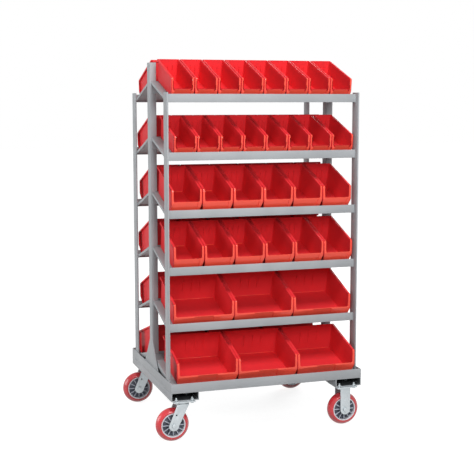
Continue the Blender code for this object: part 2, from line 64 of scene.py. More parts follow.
SIDES = (-1, 1)
FACES = ("front", "rear")
ENDS = {"left": -1, "right": 1}
WHEELS = [f"{face}_{end}" for face in FACES for end in ENDS]
NODES = sorted(frame["nodes"])

# Tolerances: how near counts as touching, and how near in angle as parallel
TOUCH = 1e-6
CUT_TOUCH = 1e-7
CAD_MERGE = 1e-5
CARVED_MERGE = 2e-5
CAD_FLAT = radians(1)
CARVED_FLAT = radians(0.5)
SHARP = radians(35)
PARALLEL = cos(radians(2))

# Shares of the sizes that they follow
STITCH_SHARES = (0.1, 0.5, 0.9)
WEB_SHARES = (0.32, 0.66)
RIB_LOW_SHARE = 0.34
RIB_HIGH_SHARE = 0.74
CORE_GAP_SHARE = 0.25
THREAD_DEPTH_SHARE = 0.5
WASHER_PER_HEAD = 1.02
WASHER_PER_AXLE = 0.9
OVERRUN = 1.2

# A weld bead's uneven width: by how much it swells, and how fast along its ripples and with its height
BEAD_SWELL = 0.10
BEAD_TURN = 2.3
BEAD_DRIFT = 40

# Sides of the turned pieces
TURN_STEPS = 96
WASHER_STEPS = 32
THREAD_STEPS = 20

# The Mix node's sockets for its two colours and for the mixed one
MIX_COLORS = (6, 7)
MIX_RESULT = 2


# Values a user would change
def length(name, description, default):
    return FloatProperty(name=name, description=description, default=default, min=0, unit="LENGTH",
                         precision=4)


def angle(name, description, default):
    return FloatProperty(name=name, description=description, default=radians(default), subtype="ANGLE")


def lengths(name, description, default):
    return FloatVectorProperty(name=name, description=description, default=default, size=len(default),
                               unit="LENGTH", precision=4)


def watts(name, description, default):
    return FloatProperty(name=name, description=description, default=default, min=0, unit="POWER")


def share(name, description, default):
    return FloatProperty(name=name, description=description, default=default, min=0, max=1, subtype="FACTOR")


def count(name, description, default):
    return IntProperty(name=name, description=description, default=default, min=1)


def color(name, description, default):
    return FloatVectorProperty(name=name, description=description, default=default, size=3, min=0, max=1,
                               subtype="COLOR")


def bin_values(base, back, front, lip, nose, rim, taper, foot, floor_corner, label_share, rib_pitch,
               rib_shift):
    """The values of one size of hopper bin."""
    return {
        "base": length("Base", "Base from front to back", base),
        "back": length("Back height", "Height of the back wall", back),
        "front": length("Front height", "Height of the rim's front corner", front),
        "lip": length("Lip height", "Height of the front lip", lip),
        "nose": length("Nose", "How far the lip leans out over the foot", nose),
        "rim": length("Rim", "Width of the rim outside the wall", rim),
        "taper": length("Taper", "How much narrower the base is than the top, each side", taper),
        "foot": length("Foot", "How far the front plate draws in at its foot", foot),
        "floor_corner": length("Floor corner", "Radius of the inner corners at the floor", floor_corner),
        "label_share": share("Label recess", "Share of the front taken by the label recess", label_share),
        "rib_pitch": length("Rib pitch", "Distance between the ribs on the back wall", rib_pitch),
        "rib_shift": length("Rib shift", "How far the ribs sit from the middle", rib_shift),
    }


class LargeBinSize(bpy.types.PropertyGroup):
    """Sizes of the large hopper bins."""
    __annotations__ = bin_values(base=0.2525, back=0.127, front=0.112, lip=0.050, nose=0.0175, rim=0.0075,
                                 taper=0.003, foot=0.008, floor_corner=0.007, label_share=0.34,
                                 rib_pitch=0.042, rib_shift=0.011)


class MediumBinSize(bpy.types.PropertyGroup):
    """Sizes of the medium hopper bins."""
    __annotations__ = bin_values(base=0.2525, back=0.127, front=0.114, lip=0.056, nose=0.0175, rim=0.007,
                                 taper=0.003, foot=0.0095, floor_corner=0.006, label_share=0.80,
                                 rib_pitch=0.026, rib_shift=0.0)


class SmallBinSize(bpy.types.PropertyGroup):
    """Sizes of the small hopper bins."""
    __annotations__ = bin_values(base=0.2600, back=0.102, front=0.0916, lip=0.037, nose=0.010, rim=0.006,
                                 taper=0.0025, foot=0.005, floor_corner=0.005, label_share=0.76,
                                 rib_pitch=0.020, rib_shift=0.0)


class MouldingSize(bpy.types.PropertyGroup):
    """Walls, radii and details that all the hopper bins share."""
    shelf_slope: angle("Shelf slope", "Slope of the shelf sheets", 17.4)
    deck_slope: angle("Deck slope", "Slope of the deck sheets", 14)
    wall: length("Wall", "Thickness of the walls", 0.0024)
    back_draft: length("Back draft", "How far the back wall leans out at its top", 0.006)
    rim_sheet: length("Rim thickness", "Thickness of the rim", 0.0024)
    rim_skirt: length("Rim skirt", "Depth of the rim's turned edge", 0.0062)
    rim_corner: length("Rim corner", "Radius of the rim's front corner", 0.009)
    rim_round: length("Rim rounding", "Radius of the rim's outer edge", 0.0022)
    seam: length("Seam", "Clearance on each side of a bin", 0.0011)
    upright_corner: length("Upright corner", "Radius of the upright corners", 0.004)
    floor_fillet: length("Floor fillet", "Radius between the floor and the walls", 0.003)
    edge: length("Edge", "Radius of the moulded edges", 0.0007)
    edge_angle: angle("Edge angle", "Least angle at which an edge is rounded", 40)
    front_wall: length("Front wall", "Thickness of the front plate", 0.0042)
    label_depth: length("Label depth", "Depth of the label recess", 0.0028)
    label_foot: length("Label foot", "Height of the ledge under the label recess", 0.007)
    rib_width: length("Rib width", "Thickness of the ribs", 0.0016)
    rib_depth: length("Rib depth", "How far a rib stands off its wall", 0.0022)
    web_depth: length("Web depth", "Depth of the webs under the rim", 0.00992)
    hook_depth: length("Hook depth", "How far the hanging hook stands off the back", 0.0045)
    hook_height: length("Hook height", "Height of the hanging hook", 0.012)


class SteelSize(bpy.types.PropertyGroup):
    """Rails, edges and welds of the steel frame."""
    rail: length("Rail", "Height of the shelves' front rails", 0.037)
    sheet_edge: length("Sheet edge", "Radius of folded and sheared sheet edges", 0.0007)
    bar_edge: length("Bar edge", "Radius of the bars' and tubes' edges", 0.0012)
    bead: length("Weld bead", "Half width of a weld bead", 0.0017)
    ripple: length("Weld ripple", "Distance between the ripples of a weld", 0.0020)
    stitch: length("Stitch", "Length of a stitch weld under the deck", 0.045)


class CasterSize(bpy.types.PropertyGroup):
    """Sizes of the casters' wheels and fasteners."""
    wheel_radius: length("Wheel radius", "Radius of the tread at its crown", 0.0762)
    edge_radius: length("Tread edge", "Radius where the crown meets the tread's side", 0.0620)
    tread_inner: length("Tread seat", "Inner radius of the tread", 0.0558)
    half_width: length("Half width", "Half the tread's width", 0.025)
    tread_round: length("Tread rounding", "Radius of the tread's edges", 0.0008)
    ring_outer: length("Ring outside", "Outer radius of the core's pale ring", 0.0555)
    ring_inner: length("Ring inside", "Inner radius of the core's pale ring", 0.0505)
    ring_inset: length("Ring inset", "How far the ring lies inside the tread's side", 0.0008)
    web: length("Web", "Thickness of the core's web", 0.010)
    hub_radius: length("Hub radius", "Radius of the core's hub", 0.018)
    hub_half: length("Half hub", "Half the length of the hub", 0.0278)
    rib: length("Rib", "Thickness of the core's ribs", 0.0045)
    rib_inset: length("Rib inset", "How far the ribs end inside the tread's side", 0.0045)
    rib_count: count("Ribs", "Number of ribs in the core", 12)
    rib_round: length("Rib rounding", "Radius of the ribs' edges", 0.0007)
    core_round: length("Core rounding", "Radius of the core's edges", 0.0006)
    # The rib tops and hub ends within this depth take the paler finish: painted highlight where the ribs
    # catch the light.
    rib_highlight: length("Ridge", "Depth below the ribs' tops that shows their paler wear", 0.001)
    bore: length("Bore", "Radius of the hub's bore", 0.0066)
    fork_edge: length("Fork edge", "Radius of the fork's edges", 0.0012)
    axle: length("Axle", "Radius of the axle bolt", 0.0060)
    axle_head: length("Axle head", "Radius of the axle's hex head", 0.0104)
    axle_seat: length("Axle seat", "Depth of a hex head together with its washer", 0.0060)
    head_round: length("Head rounding", "Radius of the hex heads' edges", 0.0006)
    washer_sheet: length("Washer", "Thickness of the washers", 0.0012)
    bolt: length("Bolt", "Radius of the plate bolts", 0.0040)
    bolt_stub: length("Bolt end", "How far a plate bolt stands above its nut", 0.0075)
    bolt_x: length("Bolt across", "Distance of the bolts from the middle across the plate", 0.0365)
    bolt_y: length("Bolt along", "Distance of the bolts from the middle along the plate", 0.045)
    thread: length("Thread", "Pitch of the plate bolts' threads", 0.00125)


class FinishColors(bpy.types.PropertyGroup):
    """Colours of the finishes."""
    enamel: color("Enamel", "Grey enamel of the steel frame", (0.376, 0.392, 0.408))
    plastic: color("Bin plastic", "Red plastic of the bins", (0.79, 0.034, 0.042))
    # Paler red on the rims and front plates: painted sheen, a lit copy of the bin plastic that stands in for
    # the bright reflection on these faces.
    painted_sheen_red: color("Sheen-painted plastic", "Paler red of the bins' rims and front plates", (0.92, 0.092, 0.056))
    tread: color("Tread", "Red tread of the wheels", (0.58, 0.024, 0.034))
    ring: color("Core ring", "Pale ring of the wheel's core", (0.66, 0.66, 0.70))
    # The core's web: partly its own dark grey, partly deepened to paint the shade between the ribs.
    core: color("Core", "Dark wheel core", (0.13, 0.14, 0.18))
    # Paler rib tops and hub ends: painted highlight, a lit copy of the core's colour.
    rib_highlight: color("Core rib highlights", "Paler ridges of the core's ribs and hub", (0.42, 0.44, 0.50))
    # Near-black for the bolsters' inner faces: painted shade inside the channel.
    scale: color("Bolster shade", "Dark steel inside the bolsters", (0.045, 0.048, 0.052))
    zinc: color("Zinc", "Zinc plate of the casters and bolts", (0.50, 0.54, 0.56))
    handled: color("Handled zinc", "Dull handling marks on the zinc", (0.42, 0.45, 0.48))
    scuff: color("Scuffs", "Small scuffs on the bins", (0.85, 0.16, 0.14))
    dust: color("Dust", "Dust on the treads", (0.55, 0.30, 0.28))


class LampValues(bpy.types.PropertyGroup):
    """Lamps: where each stands, what it points at, its width and height, and its power."""
    key_place: lengths("Key light", "Place of the broad light in front", (-0.5, -3.5, 1.9))
    key_aim: lengths("Key aim", "Where the key light points", (0.0, 0.0, 0.95))
    key_size: lengths("Key size", "Width and height of the key light", (3.0, 0.9))
    key_power: watts("Key power", "Power of the key light", 66)
    side_place: lengths("Side light", "Place of the light at the cart's left", (-4.0, 0.6, 1.6))
    side_aim: lengths("Side aim", "Where the side light points", (0.0, 0.0, 0.85))
    side_size: lengths("Side size", "Width and height of the side light", (2.2, 2.2))
    side_power: watts("Side power", "Power of the side light", 74)
    top_place: lengths("Top light", "Place of the light overhead", (-0.2, -3.4, 5.2))
    top_aim: lengths("Top aim", "Where the overhead light points", (0.0, -0.2, 0.6))
    top_size: lengths("Top size", "Width and height of the overhead light", (2.2, 1.6))
    top_power: watts("Top power", "Power of the overhead light", 196)
    back_place: lengths("Back light", "Place of the light behind the cart", (3.0, 3.6, 2.6))
    back_aim: lengths("Back aim", "Where the back light points", (0.0, 0.0, 0.85))
    back_size: lengths("Back size", "Width and height of the back light", (2.4, 2.4))
    back_power: watts("Back power", "Power of the back light", 120)


class StudioValues(bpy.types.PropertyGroup):
    """Camera, floor and surroundings."""
    camera: lengths("Camera", "Place of the camera", (-1.6115, -4.8695, 1.5051))
    yaw: angle("Yaw", "Turn of the camera to its right", 18.341)
    pitch: angle("Pitch", "Tilt of the camera below level", 7.146)
    roll: angle("Roll", "Roll of the camera", -0.034)
    lens: FloatProperty(name="Lens", description="Focal length in millimetres", default=82.03, min=1)
    sensor: FloatProperty(name="Sensor", description="Sensor width in millimetres", default=36, min=1)
    ambient: share("Ambient", "Strength of the surroundings", 0.10)
    floor_size: length("Floor", "Width of the floor", 60.0)
    floor_shade: share("Floor shade", "Grey of the floor in light and shadow", 0.40)
    floor_glow: share("Floor glow", "White that the floor adds near the cart", 0.86)
    floor_near: length("Floor near", "Distance from the cart at which the glow starts to grow", 2.0)
    floor_far: length("Floor far", "Distance from the cart at which the glow is full", 6.0)


POINTERS = {
    "cart_large_bin": LargeBinSize,
    "cart_medium_bin": MediumBinSize,
    "cart_small_bin": SmallBinSize,
    "cart_moulding": MouldingSize,
    "cart_steel": SteelSize,
    "cart_caster": CasterSize,
    "cart_colors": FinishColors,
    "cart_lamps": LampValues,
    "cart_studio": StudioValues,
}
PROPERTY_GROUPS = tuple(POINTERS.values())


# Shader maths
class Signal:
    """An output socket whose operators add Math nodes."""

    def __init__(self, graph, socket):
        self.graph = graph
        self.socket = socket

    def math(self, operation, *terms):
        return self.graph.node("ShaderNodeMath", {"operation": operation}, dict(enumerate(terms)))

    def __add__(self, other):
        return self.math("ADD", self, other)

    def __sub__(self, other):
        return self.math("SUBTRACT", self, other)

    def __rsub__(self, other):
        return self.math("SUBTRACT", other, self)

    def __mul__(self, other):
        return self.math("MULTIPLY", self, other)

    __radd__ = __add__
    __rmul__ = __mul__


class Graph:
    """A node tree and the one method that adds nodes to it."""

    def __init__(self, tree):
        self.tree = tree

    def node(self, kind, settings, values, output=0):
        made = self.tree.nodes.new(kind)
        for name, value in settings.items():
            setattr(made, name, value)
        for name, value in values.items():
            self.feed(made.inputs[name], value)
        return Signal(self, made.outputs[output])

    def feed(self, socket, value):
        if isinstance(value, Signal):
            self.tree.links.new(value.socket, socket)
        else:
            socket.default_value = value

    def white_to_view(self):
        """1 for rays that look at the white background: the camera's, and those mirrored or let through."""
        seen = self.node("ShaderNodeLightPath", {}, {}, "Is Camera Ray")
        outputs = seen.socket.node.outputs
        for name in ("Is Glossy Ray", "Is Transmission Ray"):
            seen = seen.math("MAXIMUM", seen, Signal(self, outputs[name]))
        return seen


class Finish(Graph):
    """A material with the patterns that the finishes share."""

    def __init__(self, name):
        self.material = bpy.data.materials.new(name)
        self.material.use_nodes = True
        super().__init__(self.material.node_tree)
        self.shader = self.tree.nodes["Principled BSDF"]
        self.place = self.node("ShaderNodeTexCoord", {}, {}, "Object")

    def set(self, values):
        for name, value in values.items():
            self.feed(self.shader.inputs[name], value)

    def noise(self, scale, detail=2.0, roughness=0.5):
        return self.node("ShaderNodeTexNoise", {}, {"Vector": self.place, "Scale": scale, "Detail": detail,
                                                    "Roughness": roughness})

    def band(self, signal, low, high):
        """0 below low and 1 above high."""
        return self.node("ShaderNodeMapRange", {"interpolation_type": "SMOOTHSTEP"},
                         {"Value": signal, "From Min": low, "From Max": high})

    def blend(self, factor, first, second):
        """A colour between two colours."""
        made = self.node("ShaderNodeMix", {"data_type": "RGBA"}, {0: factor}, MIX_RESULT)
        for index, shade in zip(MIX_COLORS, (first, second)):
            self.feed(made.socket.node.inputs[index], shade if isinstance(shade, Signal) else (*shade, 1))
        return made

    def bump(self, height, distance, strength):
        made = self.node("ShaderNodeBump", {}, {"Height": height, "Distance": distance, "Strength": strength})
        self.feed(self.shader.inputs["Normal"], made)


def shaded(shade, factor):
    return tuple(min(1.0, part * factor) for part in shade)


def enamel_finish(colors):
    """Satin grey enamel: a fine orange-peel, faint clouding and dusty patches."""
    finish = Finish("grey_enamel")
    clouds = finish.band(finish.noise(scale=6.0, detail=3.0), low=0.35, high=0.65)
    specks = finish.band(finish.noise(scale=900.0, detail=1.0), low=0.66, high=0.74)
    tone = finish.blend(clouds, shaded(colors.enamel, factor=0.95), shaded(colors.enamel, factor=1.04))
    tone = finish.blend(specks * 0.25, tone, shaded(colors.enamel, factor=0.55))
    finish.set({"Base Color": tone, "Roughness": 0.36 + finish.noise(scale=40.0, detail=3.0) * 0.14,
                "Specular IOR Level": 0.12})
    finish.bump(finish.noise(scale=420.0), distance=0.0004, strength=0.12)
    return finish.material


def plastic_finish(name, shade, colors, coat):
    """Injection-moulded plastic: a soft gloss with flow clouding and small scuffs."""
    finish = Finish(name)
    flow = finish.band(finish.noise(scale=7.0), low=0.3, high=0.7)
    tone = finish.blend(flow, shaded(shade, factor=0.97), shaded(shade, factor=1.03))
    scuffs = finish.band(finish.noise(scale=160.0, detail=5.0, roughness=0.7), low=0.62, high=0.80)
    tone = finish.blend(scuffs * 0.05, tone, colors.scuff)
    finish.set({"Base Color": tone, "Roughness": 0.42 + scuffs * 0.10 + finish.noise(scale=30.0) * 0.06,
                "IOR": 1.42, "Specular IOR Level": 0.12, "Coat Weight": coat})
    finish.bump(finish.noise(scale=420.0), distance=0.0002, strength=0.05)
    return finish.material


def tread_finish(colors):
    """Cast polyurethane: a soft gloss, faint clouding and a dusty crown."""
    finish = Finish("red_tread")
    clouds = finish.band(finish.noise(scale=25.0, detail=4.0, roughness=0.6), low=0.35, high=0.7)
    tone = finish.blend(clouds, shaded(colors.tread, factor=0.9), shaded(colors.tread, factor=1.1))
    dust = finish.band(finish.noise(scale=110.0, detail=5.0, roughness=0.7), low=0.55, high=0.75)
    tone = finish.blend(dust * 0.12, tone, colors.dust)
    finish.set({"Base Color": tone, "Roughness": 0.22 + dust * 0.2, "Coat Weight": 0.3,
                "Coat Roughness": 0.22})
    finish.bump(finish.noise(scale=300.0, detail=3.0), distance=0.0003, strength=0.08)
    return finish.material


def core_finish(name, shade):
    """Matt, with a fine grain: the moulded core, and the near-black painted shade inside the bolsters."""
    finish = Finish(name)
    clouds = finish.band(finish.noise(scale=60.0, detail=4.0, roughness=0.6), low=0.3, high=0.7)
    tone = finish.blend(clouds, shaded(shade, factor=0.88), shaded(shade, factor=1.08))
    finish.set({"Base Color": tone, "Roughness": 0.40 + finish.noise(scale=90.0) * 0.15, "Metallic": 0.15})
    finish.bump(finish.noise(scale=500.0), distance=0.0002, strength=0.15)
    return finish.material


def zinc_finish(colors):
    """Bright zinc plate: a bluish metal with a fine crystal clouding and dull handling marks."""
    finish = Finish("zinc_plate")
    crystals = finish.node("ShaderNodeTexVoronoi", {}, {"Vector": finish.place, "Scale": 260.0}, "Color")
    gray = finish.node("ShaderNodeRGBToBW", {}, {"Color": crystals})
    marks = finish.band(finish.noise(scale=45.0, detail=4.0, roughness=0.65), low=0.5, high=0.75)
    tone = finish.blend(gray, shaded(colors.zinc, factor=0.93), shaded(colors.zinc, factor=1.05))
    tone = finish.blend(marks * 0.22, tone, colors.handled)
    finish.set({"Base Color": tone, "Roughness": 0.44 + gray * 0.08 + marks * 0.12, "Metallic": 0.75})
    finish.bump(finish.noise(scale=350.0, detail=3.0), distance=0.0002, strength=0.10)
    return finish.material


def material(name):
    """The named finish, made once."""
    colors = bpy.context.scene.cart_colors
    makers = {
        "grey_enamel": lambda: enamel_finish(colors),
        # Near-black finish for the bolsters' inner faces: painted shade.
        "mill_scale": lambda: core_finish("mill_scale", colors.scale),
        "red_plastic": lambda: plastic_finish("red_plastic", colors.plastic, colors, coat=0.0),
        # The paler red copy of the bin plastic is painted sheen on the rims and front plates.
        "sheen_painted_plastic": lambda: plastic_finish("sheen_painted_plastic", colors.painted_sheen_red, colors, coat=0.4),
        "red_tread": lambda: tread_finish(colors),
        "core_ring": lambda: core_finish("core_ring", colors.ring),
        "dark_core": lambda: core_finish("dark_core", colors.core),
        "core_rib_highlight": lambda: core_finish("core_rib_highlight", colors.rib_highlight),
        "zinc_plate": lambda: zinc_finish(colors),
    }
    return bpy.data.materials.get(name) or makers[name]()


# Shape helpers
def show(name, bm, finishes, body, replaced=(), smooth=SHARP):
    """Makes a piece of a bmesh: shaded, riding on its body and standing for the nodes it replaces."""
    mesh = bpy.data.meshes.new(name)
    bm.to_mesh(mesh)
    bm.free()
    for finish in finishes:
        mesh.materials.append(material(finish))
    mesh.shade_smooth()
    mesh.set_sharp_from_angle(angle=smooth)
    piece = bpy.data.objects.new(name, mesh)
    bpy.context.scene.collection.objects.link(piece)
    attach(piece, body)
    if replaced:
        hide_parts(*replaced)
    return piece


def body_of(node):
    bodies = frame["record"]["behaviour"]["bodies"]
    return next(body for body, members in bodies.items() if node in members)


def join(target, source, matrix=Matrix.Identity(4)):
    """Adds a copy of one bmesh to another."""
    mesh = bpy.data.meshes.new("joined")
    source.to_mesh(mesh)
    mesh.transform(matrix)
    target.from_mesh(mesh)
    bpy.data.meshes.remove(mesh)


def block(low, high):
    bm = bmesh.new()
    bmesh.ops.create_cube(bm, size=1)
    middle = (Vector(low) + Vector(high)) / 2
    bmesh.ops.scale(bm, verts=bm.verts, vec=Vector(high) - Vector(low))
    bmesh.ops.translate(bm, verts=bm.verts, vec=middle)
    return bm


def turned(profile, steps, axis="Z"):
    """A (radius, height) profile spun about Z, or about Y. A profile off the axis is a closed ring."""
    bm = bmesh.new()
    verts = [bm.verts.new((radius, 0, height)) for radius, height in profile]
    edges = [bm.edges.new(pair) for pair in zip(verts, verts[1:])]
    if profile[0][0] > 0:
        edges.append(bm.edges.new((verts[-1], verts[0])))
    bmesh.ops.spin(bm, geom=verts + edges, cent=(0, 0, 0), axis=(0, 0, 1), angle=2 * pi, steps=steps,
                   use_merge=True)
    bmesh.ops.remove_doubles(bm, verts=bm.verts, dist=TOUCH)
    bmesh.ops.recalc_face_normals(bm, faces=bm.faces)
    if axis == "Y":
        bmesh.ops.rotate(bm, verts=bm.verts, cent=(0, 0, 0), matrix=Matrix.Rotation(pi / 2, 3, "X"))
    return bm


def trim(bm, point, normal):
    """Cuts away what lies on a plane's outer side and closes the cut."""
    geometry = bm.verts[:] + bm.edges[:] + bm.faces[:]
    cut = bmesh.ops.bisect_plane(bm, geom=geometry, plane_co=point, plane_no=normal, clear_outer=True,
                                 dist=CUT_TOUCH)
    rim = [item for item in cut["geom_cut"] if isinstance(item, bmesh.types.BMEdge)]
    bmesh.ops.edgeloop_fill(bm, edges=rim)


def soften(bm, edges, width, segments):
    bmesh.ops.bevel(bm, geom=edges, offset=width, offset_type="OFFSET", segments=segments, profile=0.5,
                    affect="EDGES", clamp_overlap=True, material=-1)


def sharp_edges(bm):
    return [edge for edge in bm.edges if edge.is_manifold and edge.calc_face_angle(0) > SHARP]


def carved(base, steps):
    """A bmesh after exact booleans with each (operation, bmesh) of the steps."""
    def loose(bm):
        mesh = bpy.data.meshes.new("carving")
        bm.to_mesh(mesh)
        bm.free()
        thing = bpy.data.objects.new("carving", mesh)
        bpy.context.scene.collection.objects.link(thing)
        return thing

    things = [loose(base)]
    for operation, tool in steps:
        things.append(loose(tool))
        cut = things[0].modifiers.new("cut", "BOOLEAN")
        cut.operation = operation
        cut.solver = "EXACT"
        cut.object = things[-1]
    bpy.context.view_layer.update()
    result = bmesh.new()
    result.from_object(things[0], bpy.context.evaluated_depsgraph_get())
    for thing in things:
        mesh = thing.data
        bpy.data.objects.remove(thing)
        bpy.data.meshes.remove(mesh)
    return result


# Hopper bins
def rounded_block(rings, segments):
    """A block with round upright corners, between two (half width, front, back, height, radius) rings."""
    bm = bmesh.new()
    for half, front, back, height, radius in rings:
        corners = bmesh.ops.create_grid(bm, x_segments=1, y_segments=1, size=1)["verts"]
        for vert in corners:
            vert.co = (copysign(half, vert.co.x), back if vert.co.y > 0 else front, height)
        bmesh.ops.bevel(bm, geom=corners, offset=radius, offset_type="OFFSET", segments=segments, profile=0.5,
                        affect="VERTICES", material=-1)
    bmesh.ops.bridge_loops(bm, edges=bm.edges[:])
    bmesh.ops.recalc_face_normals(bm, faces=bm.faces)
    return bm


def rim_cuts(kind, moulding, inset, steps=5):
    """Planes that trim a bin to its rim: along the top, round the corner and down the open front."""
    corner = Vector((0, 0, kind.front))
    top_angle = atan2(kind.back - kind.front, kind.base + moulding.back_draft)
    front_angle = atan2(kind.front - kind.lip, kind.nose)
    normals = [Vector((0, -sin(a), cos(a))) for a in (top_angle, front_angle)]
    radius = moulding.rim_corner
    center = corner - radius * (normals[0] + normals[1]) / (1 + normals[0].dot(normals[1]))
    for step in range(steps + 1):
        a = top_angle + (front_angle - top_angle) * step / steps
        normal = Vector((0, -sin(a), cos(a)))
        yield center + normal * (radius - inset), normal


def bin_block(kind, moulding, half, inset):
    """The block that a tub is moulded from, or its hollow when it is inset by the wall."""
    high = kind.back + moulding.rim_corner
    rings = []
    for height, radius in ((inset, kind.floor_corner if inset else moulding.upright_corner + moulding.wall),
                           (high, moulding.upright_corner + (0 if inset else moulding.wall))):
        wide = half - kind.rim - kind.taper * (1 - height / kind.back) - inset
        front = -kind.nose * height / kind.lip + (moulding.front_wall if inset else 0)
        back = kind.base + moulding.back_draft * height / kind.back - inset
        rings.append((wide, front, back, height, radius))
    return rounded_block(rings, segments=5)


def floor_edges(bm, height):
    return [edge for edge in bm.edges if all(abs(vert.co.z - height) < TOUCH for vert in edge.verts)]


def rim_block(kind, moulding, half, inset, reach):
    """A full-width block trimmed to the rim's planes and to the front plate, moved in by the inset."""
    low = -reach
    high = kind.back + moulding.rim_corner
    back = kind.base + moulding.back_draft + reach
    bm = block((-half, -kind.nose - high, low), (half, back, high))
    for point, normal in rim_cuts(kind, moulding, inset):
        trim(bm, point, normal)
    plate = Vector((0, -kind.lip, -kind.nose)).normalized()
    trim(bm, -plate * inset, plate)
    return bm


def is_rim_edge(edge, half, back):
    """Whether an edge runs down the rim's outer side, and not along its back or its foot."""
    first, second = (vert.co for vert in edge.verts)
    beside = abs(first.x + second.x) > 2 * half - TOUCH
    return beside and max(first.z, second.z) > TOUCH and min(first.y, second.y) < back - TOUCH


def bin_shell(kind, moulding, half):
    """A bin's tub and rim as one shell: a full block with its underside, hollow and opening cut out."""
    wall = moulding.wall
    sheet = moulding.rim_sheet
    tub = bin_block(kind, moulding, half, 0)
    soften(tub, floor_edges(tub, 0), moulding.floor_fillet, segments=2)
    for point, normal in rim_cuts(kind, moulding, 0):
        trim(tub, point, normal)
    rim = rim_block(kind, moulding, half, 0, 0)
    rim_back = kind.base + moulding.back_draft
    outer = [edge for edge in rim.edges if is_rim_edge(edge, half, rim_back)]
    soften(rim, outer, moulding.rim_round, segments=3)
    for side in SIDES:
        trim(rim, (side * half, 0, kind.lip), Vector((side * kind.lip, 0, -kind.foot)))
    under = rim_block(kind, moulding, half - sheet, sheet, wall)
    beside = rim_block(kind, moulding, half + wall, sheet + moulding.rim_skirt, wall)
    hollow = bin_block(kind, moulding, half, wall)
    soften(hollow, floor_edges(hollow, wall), moulding.floor_fillet, segments=3)
    opening = hollow.copy()
    tub = carved(tub, [("DIFFERENCE", hollow)])
    return carved(rim, [("DIFFERENCE", under), ("DIFFERENCE", beside), ("DIFFERENCE", opening),
                        ("UNION", tub)])


def back_ribs(kind, moulding):
    """Upright ribs on the inside of the back wall."""
    low = kind.back * RIB_LOW_SHARE
    high = kind.back * RIB_HIGH_SHARE
    depth = kind.base + moulding.back_draft * RIB_LOW_SHARE - moulding.wall
    for index in SIDES + (0,):
        x = kind.rib_shift + index * kind.rib_pitch
        yield block((x - moulding.rib_width / 2, depth - moulding.rib_depth, low),
                    (x + moulding.rib_width / 2, depth + moulding.wall, high))


def hanging_hook(kind, moulding, body):
    """The hook along the top of the back wall's outside."""
    back = kind.base + moulding.back_draft
    return block((-body + moulding.wall, back - moulding.wall, kind.back - moulding.hook_height),
                 (body - moulding.wall, back + moulding.hook_depth, kind.back - moulding.rim_skirt))


def rim_webs(kind, moulding, half, body):
    """Small webs that hold the rim to the side walls."""
    web = moulding.rib_width
    for side in SIDES:
        xs = sorted((side * (body - moulding.wall / 2), side * (half - moulding.rim_sheet / 2)))
        for portion in WEB_SHARES:
            y = kind.base * portion
            top = kind.front + (kind.back - kind.front) * portion
            yield block((xs[0], y - web / 2, top - moulding.web_depth),
                        (xs[1], y + web / 2, top - moulding.rim_sheet / 2))


def label_recess(kind, moulding, body):
    """The cutter of the shallow label recess, which lies in the leaning front plate."""
    wide = body * kind.label_share
    lean = atan2(kind.nose, kind.lip)
    tool = block((-wide, -moulding.label_depth, moulding.label_foot),
                 (wide, moulding.label_depth, kind.lip * OVERRUN))
    bmesh.ops.rotate(tool, verts=tool.verts, cent=(0, 0, 0), matrix=Matrix.Rotation(lean, 3, "X"))
    return tool


def mark_painted_sheen(bm, kind, moulding):
    """Gives the front plate, and the rim from its corner down, the second finish: a paler red that paints
    their sheen.
    """
    bm.normal_update()
    plate = Vector((0, -kind.lip, -kind.nose)).normalized()
    cuts = list(rim_cuts(kind, moulding, 0))
    normals = [plate] + [normal for _, normal in cuts[1:]]
    for face in bm.faces:
        if max(face.normal.dot(normal) for normal in normals) > PARALLEL:
            face.material_index = 1


def hopper_bin(kind, moulding, half):
    """One moulded bin, with its rim, front plate, label recess, ribs, webs and hanging hook."""
    body = half - kind.rim
    extras = [*back_ribs(kind, moulding), hanging_hook(kind, moulding, body),
              *rim_webs(kind, moulding, half, body)]
    steps = [("UNION", extra) for extra in extras] + [("DIFFERENCE", label_recess(kind, moulding, body))]
    bm = carved(bin_shell(kind, moulding, half), steps)
    bmesh.ops.remove_doubles(bm, verts=bm.verts, dist=CARVED_MERGE)
    bmesh.ops.dissolve_limit(bm, angle_limit=CARVED_FLAT, verts=bm.verts, edges=bm.edges)
    mark_painted_sheen(bm, kind, moulding)
    return bm


def bin_places(node, kind, slope, bins):
    """The matrices that stand a row's bins on their slope, worked out from the row's own node."""
    low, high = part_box(node)
    front = low.y + high.y < 0
    reach = kind.base * cos(slope)
    depth = reach - high.y if front else reach + low.y
    turn = Matrix.Identity(4) if front else Matrix.Rotation(pi, 4, "Z")
    pitch = (high.x - low.x) / bins
    for index in range(bins):
        spot = (low.x + (index + 0.5) * pitch, -depth if front else depth, low.z)
        yield Matrix.Translation(spot) @ turn @ Matrix.Rotation(slope, 4, "X")


def dress_bins(prefix, kind, bins):
    """Replaces each node of a size of bin: a loose bin, or a row of them as one piece."""
    moulding = bpy.context.scene.cart_moulding
    nodes = [name for name in NODES if name.startswith(prefix)]
    low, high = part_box(nodes[0])
    half = (high.x - low.x) / bins / 2 - (moulding.seam if bins > 1 else 0)
    single = hopper_bin(kind, moulding, half)
    for node in nodes:
        slope = moulding.deck_slope if "_deck_" in node else moulding.shelf_slope
        row = bmesh.new()
        for matrix in bin_places(node, kind, slope, bins):
            join(row, single, matrix)
        # The second finish, on the rims and front plates, is the paler red of painted sheen.
        piece = show(f"{node}_moulded", row, ["red_plastic", "sheen_painted_plastic"], body_of(node),
                     [node])
        rounding = piece.modifiers.new("edges", "BEVEL")
        rounding.width = moulding.edge
        rounding.segments = 2
        rounding.limit_method = "ANGLE"
        rounding.angle_limit = moulding.edge_angle
        rounding.harden_normals = True
    single.free()


